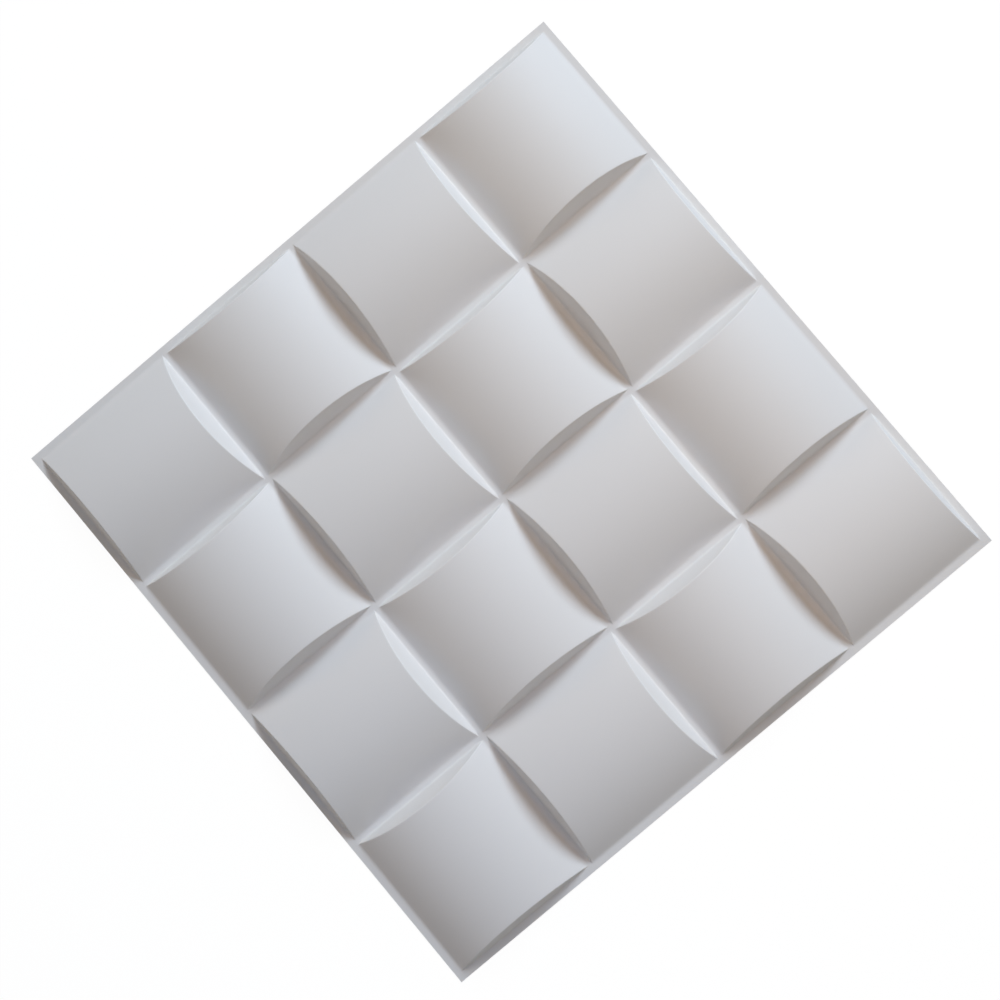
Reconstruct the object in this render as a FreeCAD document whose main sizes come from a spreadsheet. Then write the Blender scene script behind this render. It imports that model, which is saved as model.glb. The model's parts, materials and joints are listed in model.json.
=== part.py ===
# Formed wall panel tile: one thin square sheet pressed into a weave of sixteen raised arches, hollow behind.
# It lies on its back: X and Y run along the sheet's sides, Z rises from the back plane through the relief,
# and the origin is the middle of the back plane.
import FreeCAD, Part
import math
import os

import Sketcher
from FreeCAD import Vector

NODE = "wall_panel"

# Driving sizes, in millimetres and degrees
SIZES = {
    "panel_side": 500.0,
    "sheet_gauge": 1.0,
    "rim_width": 6.0,
    "strip_width": 4.5,
    "relief_height": 19.0,
    "end_draft": 20.5,
    "arch_foot_radius": 5.0,
    "end_foot_radius": 2.0,
}

# Sizes that follow from the driving ones. An end wall's foot reach is how far its round runs along the flat for
# each millimetre of radius, and the wall starts where that round leaves the flat.
DERIVED = {
    "cell_side": "=(panel_side - 2 * rim_width - 3 * strip_width) / 4",
    "cell_pitch": "=cell_side + strip_width",
    "arch_radius": "=(cell_side ^ 2 / 4 + relief_height ^ 2) / (2 * relief_height)",
    "foot_reach": "=tan(45 - end_draft / 2)",
    "wall_start": "=cell_side / 2 + end_foot_radius * foot_reach",
}

# The sheet's two faces: the level of the flats, and how far the face lies behind the visible one
VISIBLE_FACE = ("Sizes.sheet_gauge", "0")
BACK_FACE = ("0", "Sizes.sheet_gauge")

# One quarter of the weave: column and row in half pitches from the panel's middle, and the way the arch runs
QUARTER = [
    (-3, 3, "along_x"),
    (-1, 1, "along_x"),
    (-1, 3, "along_y"),
    (-3, 1, "along_y"),
]
QUARTER_TURNS = 4

# The cut that shapes an arch's ends stands this many times the relief height, well above the crown
CUT_RISE = 1.25

# Sketch names for the origin point and the two axes
ORIGIN = (-1, 1)
ACROSS, UP = -1, -2


def make_sizes(doc):
    """Spreadsheet with one aliased cell for each size."""
    sheet = doc.addObject("Spreadsheet::Sheet", "Sizes")
    for row, (alias, value) in enumerate([*SIZES.items(), *DERIVED.items()], start=1):
        sheet.set(f"A{row}", alias)
        sheet.set(f"B{row}", str(value))
        sheet.setAlias(f"B{row}", alias)
    doc.recompute()


def origin_part(body, role):
    """The body's own origin plane or axis with this role."""
    return next(item for item in body.Origin.OriginFeatures if item.Role == role)


def add_sketch(body, name, role, x, y, z):
    """Sketch on an origin plane, moved by an expression along each of its own axes."""
    sketch = body.newObject("Sketcher::SketchObject", name)
    sketch.AttachmentSupport = (origin_part(body, role), [""])
    sketch.MapMode = "FlatFace"
    for axis, expression in zip("xyz", (x, y, z)):
        sketch.setExpression(f"AttachmentOffset.Base.{axis}", expression)
    return sketch


def evaluate(sketch, *expressions):
    """Present values of some expressions."""
    return [float(sketch.evalExpression(expression)) for expression in expressions]


def constrain(sketch, *constraint):
    """Geometric constraint with no size."""
    sketch.addConstraint(Sketcher.Constraint(*constraint))


def bind(sketch, expression, *constraint):
    """Dimension that takes its value from an expression."""
    index = sketch.addConstraint(Sketcher.Constraint(*constraint, *evaluate(sketch, expression)))
    sketch.setExpression(f"Constraints[{index}]", expression)


def arc(x, y, radius, start, end):
    """Arc about a centre, counterclockwise between two angles in degrees."""
    circle = Part.Circle(Vector(x, y), Vector(0, 0, 1), radius)
    return Part.ArcOfCircle(circle, math.radians(start), math.radians(end))


def draw_chain(sketch, pieces):
    """Closed outline. Each piece is an edge, whether it runs backwards, and how it meets the next one."""
    first = sketch.GeometryCount
    for edge, _, _ in pieces:
        sketch.addGeometry(edge)
    for index, (_, backwards, joint) in enumerate(pieces):
        following = (index + 1) % len(pieces)
        end = 1 if backwards else 2
        start = 2 if pieces[following][1] else 1
        constrain(sketch, joint, first + index, end, first + following, start)
    return first


def draw_rectangle(sketch, width, depth):
    """Rectangle centred on the sketch's origin."""
    x, y = (size / 2 for size in evaluate(sketch, width, depth))
    corners = [Vector(-x, -y), Vector(x, -y), Vector(x, y), Vector(-x, y)]
    sides = [Part.LineSegment(corners[index], corners[(index + 1) % 4]) for index in range(4)]
    draw_chain(sketch, [(side, False, "Coincident") for side in sides])
    for index, kind in enumerate(("Horizontal", "Vertical", "Horizontal", "Vertical")):
        constrain(sketch, kind, index)
    constrain(sketch, "Symmetric", 0, 1, 2, 1, *ORIGIN)
    bind(sketch, width, "DistanceX", 0, 1, 0, 2)
    bind(sketch, depth, "DistanceY", 1, 1, 1, 2)


def draw_section(sketch, inset):
    """Section across a cell: the sheet's flats, a round foot at each side and the arch between them."""
    bend_size = f"Sizes.arch_radius - {inset}"
    foot_size = f"Sizes.arch_foot_radius + {inset}"
    rise, gauge, pitch, bend, foot = evaluate(
        sketch, "Sizes.relief_height", "Sizes.sheet_gauge", "Sizes.cell_pitch", bend_size, foot_size
    )
    edge = pitch / 2
    start = math.sqrt((bend + foot) ** 2 - (foot + bend - rise) ** 2)
    lean = math.degrees(math.asin(start / (bend + foot)))
    base, right_side, right_flat, right_foot, arch, left_foot, left_flat, left_side = range(8)
    draw_chain(sketch, [
        (Part.LineSegment(Vector(-edge, -gauge), Vector(edge, -gauge)), False, "Coincident"),
        (Part.LineSegment(Vector(edge, -gauge), Vector(edge, 0)), False, "Coincident"),
        (Part.LineSegment(Vector(edge, 0), Vector(start, 0)), False, "Tangent"),
        (arc(start, foot, foot, 270 - lean, 270), True, "Tangent"),
        (arc(0, rise - bend, bend, 90 - lean, 90 + lean), False, "Tangent"),
        (arc(-start, foot, foot, 270, 270 + lean), True, "Tangent"),
        (Part.LineSegment(Vector(-start, 0), Vector(-edge, 0)), False, "Coincident"),
        (Part.LineSegment(Vector(-edge, 0), Vector(-edge, -gauge)), False, "Coincident"),
    ])
    constrain(sketch, "Symmetric", base, 1, base, 2, UP)
    for upright in (right_side, left_side):
        constrain(sketch, "Vertical", upright)
    for flat in (right_flat, left_flat):
        constrain(sketch, "Horizontal", flat)
    constrain(sketch, "PointOnObject", right_flat, 1, ACROSS)
    constrain(sketch, "PointOnObject", left_flat, 2, ACROSS)
    constrain(sketch, "PointOnObject", arch, 3, UP)
    constrain(sketch, "Equal", right_foot, left_foot)
    bind(sketch, "Sizes.cell_pitch", "DistanceX", base, 1, base, 2)
    bind(sketch, "Sizes.sheet_gauge", "DistanceY", right_side, 1, right_side, 2)
    bind(sketch, foot_size, "Radius", right_foot)
    bind(sketch, bend_size, "Radius", arch)
    bind(sketch, f"{bend_size} - Sizes.relief_height", "DistanceY", arch, 3, *ORIGIN)


def draw_end_cuts(sketch, inset):
    """What is cut away beyond a cell's two leaning end walls, down to the flats, with a round foot at each."""
    foot_size = f"(Sizes.end_foot_radius + {inset})"
    top_size = f"{CUT_RISE} * Sizes.relief_height"
    edge_size = "Sizes.cell_pitch / 2"
    crest_size = f"Sizes.wall_start - {foot_size} * Sizes.foot_reach - {top_size} * tan(Sizes.end_draft)"
    start, edge, foot, top, crest, draft = evaluate(
        sketch, "Sizes.wall_start", edge_size, foot_size, top_size, crest_size, "Sizes.end_draft"
    )
    lean = math.radians(draft)
    meet_x = start - foot * math.cos(lean)
    meet_y = foot - foot * math.sin(lean)
    for side in (1, -1):
        right = side > 0
        turn = (180 + draft, 270) if right else (270, 360 - draft)
        flat = draw_chain(sketch, [
            (Part.LineSegment(Vector(side * edge, 0), Vector(side * start, 0)), False, "Tangent"),
            (arc(side * start, foot, foot, *turn), right, "Tangent"),
            (Part.LineSegment(Vector(side * meet_x, meet_y), Vector(side * crest, top)), False, "Coincident"),
            (Part.LineSegment(Vector(side * crest, top), Vector(side * edge, top)), False, "Coincident"),
            (Part.LineSegment(Vector(side * edge, top), Vector(side * edge, 0)), False, "Coincident"),
        ])
        round_foot, wall, lid, outside = range(flat + 1, flat + 5)
        constrain(sketch, "Horizontal", flat)
        constrain(sketch, "PointOnObject", flat, 1, ACROSS)
        constrain(sketch, "Horizontal", lid)
        constrain(sketch, "Vertical", outside)
        bind(sketch, foot_size, "Radius", round_foot)
        bind(sketch, top_size, "DistanceY", *ORIGIN, wall, 2)
        for expression, point in ((edge_size, (flat, 1)), ("Sizes.wall_start", (flat, 2)), (crest_size, (wall, 2))):
            span = (*ORIGIN, *point) if right else (*point, *ORIGIN)
            bind(sketch, expression, "DistanceX", *span)


def add_plate(body, level):
    """Flat square plate of the sheet's thickness, whose upper face is at this level."""
    sketch = add_sketch(body, "PlateOutline", "XY_Plane", "0", "0", f"{level} - Sizes.sheet_gauge")
    draw_rectangle(sketch, "Sizes.panel_side", "Sizes.panel_side")
    plate = body.newObject("PartDesign::Pad", "Plate")
    plate.Profile = sketch
    plate.setExpression("Length", "Sizes.sheet_gauge")


def add_through_cell(body, kind, name, sketch):
    """Pad or pocket of a sketch to both sides, over the cell's whole pitch."""
    feature = body.newObject(kind, name)
    feature.Profile = sketch
    feature.SideType = "Symmetric"
    feature.setExpression("Length", "Sizes.cell_pitch")
    return feature


def add_cell(body, number, cell, face):
    """One arch on the plate, and the cut that leaves its two leaning end walls."""
    column, row, way = cell
    level, inset = face
    x = f"{column} * Sizes.cell_pitch / 2"
    y = f"{row} * Sizes.cell_pitch / 2"
    places = [("YZ_Plane", y, level, x), ("XZ_Plane", x, level, f"-({y})")]
    if way == "along_y":
        places.reverse()
    section = add_sketch(body, f"Section{number}", *places[0])
    draw_section(section, inset)
    arch = add_through_cell(body, "PartDesign::Pad", f"Arch{number}", section)
    side = add_sketch(body, f"Side{number}", *places[1])
    draw_end_cuts(side, inset)
    ends = add_through_cell(body, "PartDesign::Pocket", f"Ends{number}", side)
    return [arch, ends]


def make_relief(doc, name, face):
    """Body up to one face of the sheet: a plate and a quarter of the weave, turned about the panel's middle."""
    body = doc.addObject("PartDesign::Body", name)
    add_plate(body, face[0])
    quarter = []
    for number, cell in enumerate(QUARTER, start=1):
        quarter += add_cell(body, number, cell, face)
    weave = body.newObject("PartDesign::PolarPattern", "Weave")
    weave.Originals = quarter
    weave.Axis = (origin_part(body, "Z_Axis"), [""])
    weave.Angle = 360
    weave.Occurrences = QUARTER_TURNS
    body.Tip = weave
    doc.recompute()
    return body


def check_document(doc):
    """Stops on any object that failed to build, and on an end cut that took nothing away."""
    for item in doc.Objects:
        if {"Invalid", "Error"} & set(item.State):
            raise RuntimeError(f"{item.Label} did not build: {item.State}")
        if item.TypeId == "PartDesign::Pocket" and item.Shape.Volume >= item.BaseFeature.Shape.Volume:
            raise RuntimeError(f"{item.Label} cut nothing")


def write_part(item):
    """Writes a sub-part's file, named by its label, once its shape is one valid solid."""
    if item.Shape.isNull() or not item.Shape.isValid() or len(item.Shape.Solids) != 1:
        raise RuntimeError(f"{item.Label} is not one valid solid")
    os.makedirs("parts", exist_ok=True)
    item.Shape.exportStep(f"parts/{item.Label}.step")


def main():
    doc = FreeCAD.newDocument("WallPanel")
    make_sizes(doc)
    panel = doc.addObject("Part::Cut", "Panel")
    panel.Label = NODE
    panel.Base = make_relief(doc, "Relief", VISIBLE_FACE)
    panel.Tool = make_relief(doc, "Mould", BACK_FACE)
    doc.recompute()
    check_document(doc)
    write_part(panel)


main()
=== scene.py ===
"""Wall panel tile: a formed sheet with a woven relief of sixteen arches, its finish and its studio."""
import json
import math

import bmesh
import bpy
from bmesh.types import BMEdge, BMVert
from bpy.props import FloatProperty, FloatVectorProperty, PointerProperty
from mathutils import Matrix, Vector


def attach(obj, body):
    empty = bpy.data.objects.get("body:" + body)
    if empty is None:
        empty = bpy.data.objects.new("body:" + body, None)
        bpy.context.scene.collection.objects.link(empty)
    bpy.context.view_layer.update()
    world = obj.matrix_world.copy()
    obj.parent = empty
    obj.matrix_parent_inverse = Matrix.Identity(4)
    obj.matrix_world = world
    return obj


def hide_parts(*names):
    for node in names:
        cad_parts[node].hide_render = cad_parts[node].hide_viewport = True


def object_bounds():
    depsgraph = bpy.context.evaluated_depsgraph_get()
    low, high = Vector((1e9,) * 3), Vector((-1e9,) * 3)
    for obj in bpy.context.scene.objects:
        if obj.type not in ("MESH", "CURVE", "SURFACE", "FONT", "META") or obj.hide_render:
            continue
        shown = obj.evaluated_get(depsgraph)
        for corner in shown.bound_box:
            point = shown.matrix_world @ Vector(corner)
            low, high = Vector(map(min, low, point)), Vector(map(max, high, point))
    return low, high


bl_info = {
    "name": "Wall Panel Tile",
    "version": (1, 0, 0),
    "blender": (4, 5, 0),
    "location": "3D View > Sidebar > Wall Panel",
    "description": "Forms a wall panel with a woven relief, finishes it in satin white and sets its studio",
    "category": "Add Mesh",
}

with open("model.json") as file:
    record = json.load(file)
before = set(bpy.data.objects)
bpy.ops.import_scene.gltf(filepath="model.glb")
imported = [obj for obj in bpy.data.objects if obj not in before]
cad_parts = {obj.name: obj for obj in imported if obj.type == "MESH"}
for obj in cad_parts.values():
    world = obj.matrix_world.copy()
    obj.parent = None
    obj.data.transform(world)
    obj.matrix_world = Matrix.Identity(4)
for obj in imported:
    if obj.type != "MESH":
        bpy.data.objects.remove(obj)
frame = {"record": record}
CAD_LOW, CAD_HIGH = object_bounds()

NODE = "wall_panel"
BODY = "root"
PLASTIC = frame["record"]["materials"][0]
GAUGE = 0.001

# The weave: cells along each side, and the steps in which the arches and the rounds are modelled
CELLS = 4
ARCH_STEPS = 26
FOOT_STEPS = 4
ROUND_STEPS = 6
EDGE_STEPS = 2

# Faces that meet at less than this angle are shaded as one, and points nearer than this are one
SMOOTH_LIMIT = math.radians(20)
MERGE = 1e-6

# Marks on the profile's vertices
FOOT, CREST = 1, 2

# The plastic: its clouding's share of its white, the noise of its clouding, wiped sheen and grain, how far
# the sheen strays from its roughness, and the grain's depth
CLOUDING_SHARE = 0.975
CLOUD_NOISE = {"Scale": 9.0, "Detail": 3.0, "Roughness": 0.55}
WIPE_NOISE = {"Scale": 40.0, "Detail": 4.0, "Roughness": 0.6}
GRAIN_NOISE = {"Scale": 1600.0, "Detail": 2.0, "Roughness": 0.5}
SHEEN_SPREAD = 0.04
GRAIN_DEPTH = 0.0003

# Half the floor's side, and the hairline between the panel's edges and the floor
FLOOR_REACH = 4.0
FLOOR_GAP = 0.0003

# The floor's paper, and the white that stands in for most of it where it is seen
WHITE = (1.0, 1.0, 1.0)
PAPER = (0.4, 0.4, 0.4)
PAPER_GLOW = 1.13
GLOW_SHARE = 0.85

# The window: bearing on the floor and rise in degrees, distance and size
WINDOW = (120, 33, 5.0, (2.0, 2.2))

# Lamps round the panel: the same four, then power in watts and colour
LAMPS = {
    "upper_lamp": (135, 62, 0.85, (0.5, 0.5), 0.76, (1.0, 0.72, 0.45)),
    "right_lamp": (45, 62, 0.85, (0.5, 0.5), 0.92, (1.0, 0.6, 0.25)),
    "lower_lamp": (315, 62, 0.85, (0.5, 0.5), 0.44, (0.02, 0.36, 1.0)),
    "left_wall": (225, 18, 6.0, (5.0, 2.4), 42.0, (1.0, 0.65, 0.29)),
    "right_wall": (330, 18, 6.0, (5.0, 2.4), 31.5, (1.0, 0.95, 0.75)),
    "back_lamp": (300, -50, 2.0, (1.0, 1.0), 30.0, WHITE),
}

SENSOR_WIDTH = 36.0


class SheetSizes(bpy.types.PropertyGroup):
    """Sizes of the formed sheet"""

    side: FloatProperty(
        name="Side", description="Length of each side of the sheet",
        default=CAD_HIGH.x - CAD_LOW.x, min=0.1, unit="LENGTH",
    )
    gauge: FloatProperty(
        name="Gauge", description="Thickness of the sheet",
        default=GAUGE, min=0.0002, unit="LENGTH",
    )
    relief: FloatProperty(
        name="Relief", description="Height of an arch's crown above the flats",
        default=CAD_HIGH.z - CAD_LOW.z - GAUGE, min=0.005, unit="LENGTH",
    )
    rim: FloatProperty(
        name="Rim", description="Width of the flat border round the relief",
        default=0.006, min=0.002, unit="LENGTH",
    )
    strip: FloatProperty(
        name="Strip", description="Width of the flat strip between two arches",
        default=0.0045, min=0.002, unit="LENGTH",
    )
    end_lean: FloatProperty(
        name="End Lean", description="Lean of the arches' end walls from upright",
        default=math.radians(20.5), min=0.0, max=math.radians(40), subtype="ANGLE",
    )
    crest_round: FloatProperty(
        name="Crest Round", description="Radius of the edge where an arch turns into its end wall",
        default=0.0012, min=0.0002, unit="LENGTH",
    )
    arch_foot: FloatProperty(
        name="Arch Foot", description="Radius in the corner where an arch meets the flats",
        default=0.005, min=0.0002, unit="LENGTH",
    )
    end_foot: FloatProperty(
        name="End Foot", description="Radius in the corner where an end wall meets the flats",
        default=0.002, min=0.0002, unit="LENGTH",
    )
    edge_round: FloatProperty(
        name="Edge Round", description="Radius of the sheet's cut edges",
        default=0.00015, min=0.00005, unit="LENGTH",
    )


class SheetFinish(bpy.types.PropertyGroup):
    """Colour and surface of the plastic"""

    colour: FloatVectorProperty(
        name="Colour", description="White of the plastic",
        default=PLASTIC["base_color"], min=0.0, max=1.0, subtype="COLOR",
    )
    clouding: FloatVectorProperty(
        name="Clouding", description="White of the plastic where it is faintly clouded",
        default=[CLOUDING_SHARE * value for value in PLASTIC["base_color"]],
        min=0.0, max=1.0, subtype="COLOR",
    )
    roughness: FloatProperty(
        name="Roughness", description="How far the satin sheen spreads",
        default=0.6, min=0.0, max=1.0, subtype="FACTOR",
    )
    grain: FloatProperty(
        name="Grain", description="Strength of the fine moulded grain",
        default=0.06, min=0.0, max=1.0, subtype="FACTOR",
    )


class StudioSettings(bpy.types.PropertyGroup):
    """Light and camera of the studio"""

    window_power: FloatProperty(
        name="Window", description="Power of the large soft light far beyond the panel's upper corner",
        default=218.0, min=0.0, unit="POWER",
    )
    window_colour: FloatVectorProperty(
        name="Window Colour", description="Colour of the large soft light",
        default=(0.748, 0.87, 1.0), min=0.0, max=1.0, subtype="COLOR",
    )
    lamp_level: FloatProperty(
        name="Lamps", description="Level of all the lamps but the window",
        default=1.0, min=0.0,
    )
    sky_strength: FloatProperty(
        name="Surrounding Light", description="Level of the even light from all round",
        default=0.13, min=0.0,
    )
    sky_colour: FloatVectorProperty(
        name="Surrounding Colour", description="Colour of the even light from all round",
        default=(0.92, 0.95, 1.0), min=0.0, max=1.0, subtype="COLOR",
    )
    camera_place: FloatVectorProperty(
        name="Camera", description="Where the camera stands",
        default=(0.02913, 0.0182, 1.03851), subtype="TRANSLATION",
    )
    camera_aim: FloatVectorProperty(
        name="Aim", description="Point that the camera looks at",
        default=(-0.02421, -0.00634, 0.001), subtype="TRANSLATION",
    )
    camera_turn: FloatProperty(
        name="Picture Up", description="Bearing on the floor, from X, that is upwards in the picture",
        default=math.radians(139.908), subtype="ANGLE",
    )
    camera_shift: FloatVectorProperty(
        name="Shift", description="Sideways and upward shift of the picture, as a share of its width",
        default=(0.025, -0.021), size=2,
    )
    camera_lens: FloatProperty(
        name="Lens", description="Focal length in millimetres, on a sensor 36 mm wide",
        default=50.95, min=10.0,
    )


def of_kind(items, kind):
    """Those of an operator's results that are of one kind."""
    return [item for item in items if isinstance(item, kind)]


def half_cell(sizes):
    """Half the side of one raised cell."""
    return (sizes.side - 2 * sizes.rim - (CELLS - 1) * sizes.strip) / (2 * CELLS)


def corner_reach(sizes):
    """How far a round runs from the corner of an end wall and a flat, for each unit of its radius."""
    return math.tan((math.pi / 2 - sizes.end_lean) / 2)


def spin_round(bm, vert, centre, angle):
    """Draws a round from a vertex about a centre and returns its last vertex."""
    swept = bmesh.ops.spin(
        bm, geom=[vert], cent=centre, axis=(0, 1, 0), angle=angle, steps=ROUND_STEPS, use_merge=False
    )
    return swept["geom_last"][0]


def draw_end_profile(bm, sizes, mark):
    """Profile along a cell's crown: foot round, leaning end wall, crest round, and the same mirrored."""
    turn = math.pi / 2 - sizes.end_lean
    reach = corner_reach(sizes)
    flat_end = half_cell(sizes) + sizes.end_foot * reach
    top_end = half_cell(sizes) - sizes.relief * math.tan(sizes.end_lean) - sizes.crest_round * reach
    foot = bm.verts.new((flat_end, 0, 0))
    foot_top = spin_round(bm, foot, (flat_end, 0, sizes.end_foot), turn)
    for vert in bm.verts:
        vert[mark] = FOOT
    crest_low = bmesh.ops.extrude_vert_indiv(bm, verts=[foot_top])["verts"][0]
    crest_low[mark] = CREST
    outward = Vector((math.cos(sizes.end_lean), 0, math.sin(sizes.end_lean)))
    crest_centre = Vector((top_end, 0, sizes.relief - sizes.crest_round))
    crest_low.co = crest_centre + outward * sizes.crest_round
    crest_top = spin_round(bm, crest_low, crest_centre, -turn)
    mirrored = bmesh.ops.mirror(bm, geom=bm.verts[:] + bm.edges[:], axis="X", merge_dist=0)["geom"]
    other_top = max(of_kind(mirrored, BMVert), key=lambda vert: vert.co.z)
    bmesh.ops.contextual_create(bm, geom=[crest_top, other_top])


def arch_steps(sizes):
    """Distance from the crown line and height above the flats, at each step down one side of an arch."""
    bend = (half_cell(sizes) ** 2 + sizes.relief ** 2) / (2 * sizes.relief)
    foot = sizes.arch_foot
    foot_start = math.sqrt((bend + foot) ** 2 - (bend + foot - sizes.relief) ** 2)
    lean = math.asin(foot_start / (bend + foot))
    for step in range(1, ARCH_STEPS + 1):
        angle = lean * step / ARCH_STEPS
        yield bend * math.sin(angle), sizes.relief - bend * (1 - math.cos(angle))
    for step in range(1, FOOT_STEPS + 1):
        angle = lean * (1 - step / FOOT_STEPS)
        yield foot_start - foot * math.sin(angle), foot * (1 - math.cos(angle))


def carry_profile(bm, sizes, mark):
    """Carries the profile down one side of the arch.

    The crests slide down along the end walls. Once a crest round meets its foot round, at the slide's
    floor, the whole wall shrinks into its tip instead.
    """
    slide_floor = (sizes.crest_round + sizes.end_foot) * corner_reach(sizes) * math.cos(sizes.end_lean)
    profile = bm.edges[:]
    across, rise = 0.0, sizes.relief
    for next_across, next_rise in arch_steps(sizes):
        grown = bmesh.ops.extrude_edge_only(bm, edges=profile)["geom"]
        verts = of_kind(grown, BMVert)
        profile = of_kind(grown, BMEdge)
        bmesh.ops.translate(bm, verts=verts, vec=(0, next_across - across, 0))
        drop = max(rise, slide_floor) - max(next_rise, slide_floor)
        shrink = min(next_rise, slide_floor) / min(rise, slide_floor)
        for side in (1, -1):
            wall = [vert for vert in verts if vert.co.x * side > 0]
            crest = [vert for vert in wall if vert[mark] == CREST]
            corner = Matrix.Translation((-side * half_cell(sizes), 0, 0))
            bmesh.ops.translate(bm, verts=crest, vec=(side * drop * math.tan(sizes.end_lean), 0, -drop))
            bmesh.ops.scale(bm, verts=wall, vec=(shrink, 1, shrink), space=corner)
        across, rise = next_across, next_rise


def raise_cell(bm, sizes):
    """One arch that runs along X, standing on the flats at the origin."""
    mark = bm.verts.layers.int.new("profile_part")
    draw_end_profile(bm, sizes, mark)
    carry_profile(bm, sizes, mark)
    bmesh.ops.mirror(bm, geom=bm.verts[:] + bm.edges[:] + bm.faces[:], axis="Y", merge_dist=MERGE)
    bmesh.ops.remove_doubles(bm, verts=bm.verts[:], dist=MERGE)
    bm.verts.layers.int.remove(mark)


def weave_cells(bm, sizes):
    """Repeats the arch over the sheet, with every second one turned a quarter."""
    first = bm.verts[:] + bm.edges[:] + bm.faces[:]
    pitch = 2 * half_cell(sizes) + sizes.strip
    middle = (CELLS - 1) / 2
    for row in range(CELLS):
        for column in range(CELLS):
            copied = bmesh.ops.duplicate(bm, geom=first)["geom"]
            verts = of_kind(copied, BMVert)
            turn = Matrix.Rotation(math.pi / 2 * ((row + column) % 2), 3, "Z")
            place = ((column - middle) * pitch, (middle - row) * pitch, 0)
            bmesh.ops.rotate(bm, verts=verts, cent=(0, 0, 0), matrix=turn)
            bmesh.ops.translate(bm, verts=verts, vec=place)
    bmesh.ops.delete(bm, geom=of_kind(first, BMVert), context="VERTS")


def lay_flats(bm, sizes):
    """Fills the rim and the strips between the arches, out to the sheet's square outline."""
    outline = bmesh.ops.create_grid(bm, x_segments=1, y_segments=1, size=sizes.side / 2)["verts"]
    bmesh.ops.delete(bm, geom=outline[0].link_faces[:], context="FACES_ONLY")
    open_edges = [edge for edge in bm.edges if edge.is_boundary or edge.is_wire]
    bmesh.ops.triangle_fill(bm, edges=open_edges, use_beauty=True, normal=(0, 0, 1))
    bmesh.ops.recalc_face_normals(bm, faces=bm.faces[:])
    if sum(face.normal.z for face in bm.faces) < 0:
        bmesh.ops.reverse_faces(bm, faces=bm.faces[:])


def thicken_sheet(bm, sizes):
    """Gives the sheet its gauge towards the back, sets its back on the floor and eases its cut edges."""
    bmesh.ops.solidify(bm, geom=bm.faces[:], thickness=sizes.gauge)
    bmesh.ops.translate(bm, verts=bm.verts[:], vec=(0, 0, sizes.gauge))
    border = sizes.side / 2 - MERGE
    cut = [
        edge for edge in bm.edges
        if all(max(abs(vert.co.x), abs(vert.co.y)) > border for vert in edge.verts)
    ]
    bmesh.ops.bevel(
        bm, geom=cut, offset=sizes.edge_round, offset_type="OFFSET", affect="EDGES",
        segments=EDGE_STEPS, profile=0.5, material=-1, clamp_overlap=True,
    )


def add_node(tree, kind, inputs=None, **settings):
    """Shader node with some of its settings and input values."""
    node = tree.nodes.new(kind)
    for name, value in settings.items():
        setattr(node, name, value)
    for name, value in (inputs or {}).items():
        node.inputs[name].default_value = value
    return node


def opaque(colour):
    """Colour with full alpha."""
    return (*colour, 1.0)


def plastic_material(finish):
    """Satin white plastic: faint clouding, a slightly uneven sheen and a fine moulded grain."""
    material = bpy.data.materials.new(PLASTIC["slot"])
    material.use_nodes = True
    tree = material.node_tree
    link = tree.links.new
    shader = tree.nodes["Principled BSDF"]
    place = add_node(tree, "ShaderNodeTexCoord").outputs["Object"]

    clouds = add_node(tree, "ShaderNodeTexNoise", CLOUD_NOISE)
    tint = add_node(tree, "ShaderNodeMix", data_type="RGBA")
    tint.inputs["A"].default_value = opaque(finish.colour)
    tint.inputs["B"].default_value = opaque(finish.clouding)
    link(place, clouds.inputs["Vector"])
    link(clouds.outputs["Fac"], tint.inputs["Factor"])
    link(tint.outputs["Result"], shader.inputs["Base Color"])

    wipe = add_node(tree, "ShaderNodeTexNoise", WIPE_NOISE)
    sheen = add_node(tree, "ShaderNodeMapRange", {
        "To Min": finish.roughness - SHEEN_SPREAD,
        "To Max": finish.roughness + SHEEN_SPREAD,
    })
    link(place, wipe.inputs["Vector"])
    link(wipe.outputs["Fac"], sheen.inputs["Value"])
    link(sheen.outputs["Result"], shader.inputs["Roughness"])

    grain = add_node(tree, "ShaderNodeTexNoise", GRAIN_NOISE)
    bump = add_node(tree, "ShaderNodeBump", {"Strength": finish.grain, "Distance": GRAIN_DEPTH})
    link(place, grain.inputs["Vector"])
    link(grain.outputs["Fac"], bump.inputs["Height"])
    link(bump.outputs["Normal"], shader.inputs["Normal"])
    return material


def seen_directly(tree):
    """Output that is 1 for what is seen, mirrored or seen through, and 0 for light that falls."""
    path = add_node(tree, "ShaderNodeLightPath")
    near = add_node(tree, "ShaderNodeMath", operation="MAXIMUM")
    seen = add_node(tree, "ShaderNodeMath", operation="MAXIMUM")
    tree.links.new(path.outputs["Is Camera Ray"], near.inputs[0])
    tree.links.new(path.outputs["Is Glossy Ray"], near.inputs[1])
    tree.links.new(near.outputs[0], seen.inputs[0])
    tree.links.new(path.outputs["Is Transmission Ray"], seen.inputs[1])
    return seen.outputs[0]


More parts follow.
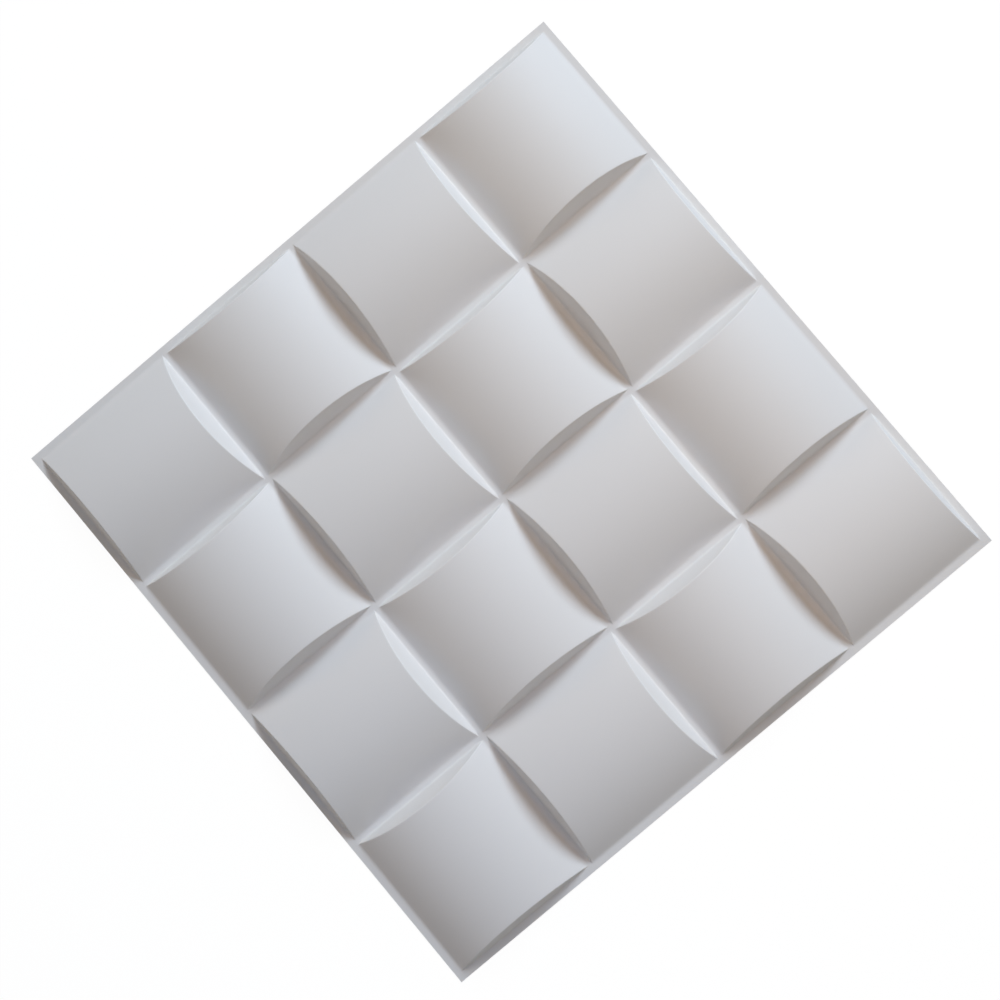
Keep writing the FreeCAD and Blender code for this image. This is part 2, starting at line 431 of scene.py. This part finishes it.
def floor_material():
    """White paper floor, which keeps a soft shadow, looks white from above and is clear from below."""
    material = bpy.data.materials.new("white_paper")
    material.use_nodes = True
    tree = material.node_tree
    tree.nodes.remove(tree.nodes["Principled BSDF"])
    link = tree.links.new
    paper = add_node(tree, "ShaderNodeBsdfDiffuse", {"Color": opaque(PAPER)})
    white = add_node(tree, "ShaderNodeEmission", {"Color": opaque(WHITE), "Strength": PAPER_GLOW})
    share = add_node(tree, "ShaderNodeMath", {1: GLOW_SHARE}, operation="MULTIPLY")
    upper = add_node(tree, "ShaderNodeMixShader")
    link(seen_directly(tree), share.inputs[0])
    link(share.outputs[0], upper.inputs["Fac"])
    link(paper.outputs[0], upper.inputs[1])
    link(white.outputs[0], upper.inputs[2])
    clear = add_node(tree, "ShaderNodeBsdfTransparent")
    side = add_node(tree, "ShaderNodeNewGeometry")
    both = add_node(tree, "ShaderNodeMixShader")
    link(side.outputs["Backfacing"], both.inputs["Fac"])
    link(upper.outputs[0], both.inputs[1])
    link(clear.outputs[0], both.inputs[2])
    link(both.outputs[0], tree.nodes["Material Output"].inputs["Surface"])
    return material


def lay_floor(opening):
    """Wide floor with an opening of the given half side under the panel, through which its back is lit."""
    bm = bmesh.new()
    bmesh.ops.create_grid(bm, x_segments=1, y_segments=1, size=FLOOR_REACH)
    inner = bm.faces[:]
    bmesh.ops.inset_region(
        bm, faces=inner, use_boundary=True, thickness=FLOOR_REACH - opening, use_even_offset=True
    )
    bmesh.ops.delete(bm, geom=inner, context="FACES")
    mesh = bpy.data.meshes.new("floor")
    bm.to_mesh(mesh)
    bm.free()
    mesh.materials.append(floor_material())
    floor = bpy.data.objects.new("floor", mesh)
    bpy.context.scene.collection.objects.link(floor)
    return floor


def light_world(studio):
    """Even light from all round, which looks white where it is seen or mirrored."""
    world = bpy.data.worlds.new("studio")
    world.use_nodes = True
    tree = world.node_tree
    link = tree.links.new
    even = tree.nodes["Background"]
    even.inputs["Color"].default_value = opaque(studio.sky_colour)
    even.inputs["Strength"].default_value = studio.sky_strength
    white = add_node(tree, "ShaderNodeBackground", {"Color": opaque(WHITE), "Strength": 1.0})
    mix = add_node(tree, "ShaderNodeMixShader")
    link(seen_directly(tree), mix.inputs["Fac"])
    link(even.outputs[0], mix.inputs[1])
    link(white.outputs[0], mix.inputs[2])
    link(mix.outputs[0], tree.nodes["World Output"].inputs["Surface"])
    bpy.context.scene.world = world


def add_soft_light(name, bearing, elevation, distance, size, power, colour):
    """Rectangular light that faces the panel's middle and isn't seen itself."""
    bearing, elevation = math.radians(bearing), math.radians(elevation)
    lamp = bpy.data.lights.new(name, "AREA")
    lamp.shape = "RECTANGLE"
    lamp.size, lamp.size_y = size
    lamp.energy = power
    lamp.color = colour
    out = math.cos(elevation)
    away = Vector((out * math.cos(bearing), out * math.sin(bearing), math.sin(elevation)))
    light = bpy.data.objects.new(name, lamp)
    light.location = away * distance
    light.rotation_euler = away.to_track_quat("Z", "Y").to_euler()
    light.visible_camera = False
    bpy.context.scene.collection.objects.link(light)


def hang_lights(studio):
    """A far window as the main light, and lamps that lift the shadows and tint the panel a little."""
    add_soft_light("window", *WINDOW, studio.window_power, studio.window_colour)
    for name, (*place, power, colour) in LAMPS.items():
        add_soft_light(name, *place, power * studio.lamp_level, colour)


def add_camera(studio):
    """Camera above the panel, turned so that one corner of the sheet points up in the picture."""
    lens = bpy.data.cameras.new("camera")
    lens.lens = studio.camera_lens
    lens.sensor_width = SENSOR_WIDTH
    lens.shift_x, lens.shift_y = studio.camera_shift
    place = Vector(studio.camera_place)
    back = (place - Vector(studio.camera_aim)).normalized()
    upwards = Vector((math.cos(studio.camera_turn), math.sin(studio.camera_turn), 0))
    right = upwards.cross(back).normalized()
    turned = Matrix((right, back.cross(right), back)).transposed()
    camera = bpy.data.objects.new("camera", lens)
    camera.matrix_world = Matrix.Translation(place) @ turned.to_4x4()
    bpy.context.scene.collection.objects.link(camera)
    bpy.context.scene.camera = camera


class WALLPANEL_OT_form_sheet(bpy.types.Operator):
    """Forms the panel's sheet with its woven relief"""

    bl_idname = "wall_panel.form_sheet"
    bl_label = "Form Sheet"

    def execute(self, context):
        sizes = context.scene.wall_panel_sizes
        bm = bmesh.new()
        raise_cell(bm, sizes)
        weave_cells(bm, sizes)
        lay_flats(bm, sizes)
        thicken_sheet(bm, sizes)
        if not all(edge.is_manifold for edge in bm.edges):
            raise RuntimeError("The sheet isn't closed")
        mesh = bpy.data.meshes.new("formed_sheet")
        bm.to_mesh(mesh)
        bm.free()
        mesh.shade_smooth()
        mesh.set_sharp_from_angle(angle=SMOOTH_LIMIT)
        sheet = bpy.data.objects.new("formed_sheet", mesh)
        context.scene.collection.objects.link(sheet)
        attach(sheet, BODY)
        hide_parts(NODE)
        return {"FINISHED"}


class WALLPANEL_OT_finish_sheet(bpy.types.Operator):
    """Gives the sheet its satin white finish"""

    bl_idname = "wall_panel.finish_sheet"
    bl_label = "Finish Sheet"

    def execute(self, context):
        sheet = bpy.data.objects["formed_sheet"]
        sheet.data.materials.clear()
        sheet.data.materials.append(plastic_material(context.scene.wall_panel_finish))
        return {"FINISHED"}


class WALLPANEL_OT_set_studio(bpy.types.Operator):
    """Lays the floor, hangs the lights and places the camera"""

    bl_idname = "wall_panel.set_studio"
    bl_label = "Set Studio"

    def execute(self, context):
        studio = context.scene.wall_panel_studio
        lay_floor(context.scene.wall_panel_sizes.side / 2 + FLOOR_GAP)
        light_world(studio)
        hang_lights(studio)
        add_camera(studio)
        context.scene.view_settings.view_transform = "Standard"
        return {"FINISHED"}


class WALLPANEL_PT_sidebar(bpy.types.Panel):
    """Sizes, finish and studio of the wall panel"""

    bl_idname = "WALLPANEL_PT_sidebar"
    bl_label = "Wall Panel"
    bl_space_type = "VIEW_3D"
    bl_region_type = "UI"
    bl_category = "Wall Panel"

    def draw(self, context):
        scene = context.scene
        steps = (
            (scene.wall_panel_sizes, WALLPANEL_OT_form_sheet),
            (scene.wall_panel_finish, WALLPANEL_OT_finish_sheet),
            (scene.wall_panel_studio, WALLPANEL_OT_set_studio),
        )
        for settings, operator in steps:
            box = self.layout.box()
            for name in settings.__annotations__:
                box.prop(settings, name)
            box.operator(operator.bl_idname)


CLASSES = (
    SheetSizes,
    SheetFinish,
    StudioSettings,
    WALLPANEL_OT_form_sheet,
    WALLPANEL_OT_finish_sheet,
    WALLPANEL_OT_set_studio,
    WALLPANEL_PT_sidebar,
)
SETTINGS = {
    "wall_panel_sizes": SheetSizes,
    "wall_panel_finish": SheetFinish,
    "wall_panel_studio": StudioSettings,
}


def register():
    for cls in CLASSES:
        bpy.utils.register_class(cls)
    for name, group in SETTINGS.items():
        setattr(bpy.types.Scene, name, PointerProperty(type=group))


def unregister():
    for name in SETTINGS:
        delattr(bpy.types.Scene, name)
    for cls in reversed(CLASSES):
        bpy.utils.unregister_class(cls)


def main():
    register()
    bpy.ops.wall_panel.form_sheet()
    bpy.ops.wall_panel.finish_sheet()
    bpy.ops.wall_panel.set_studio()


if __name__ == "__main__":
    main()
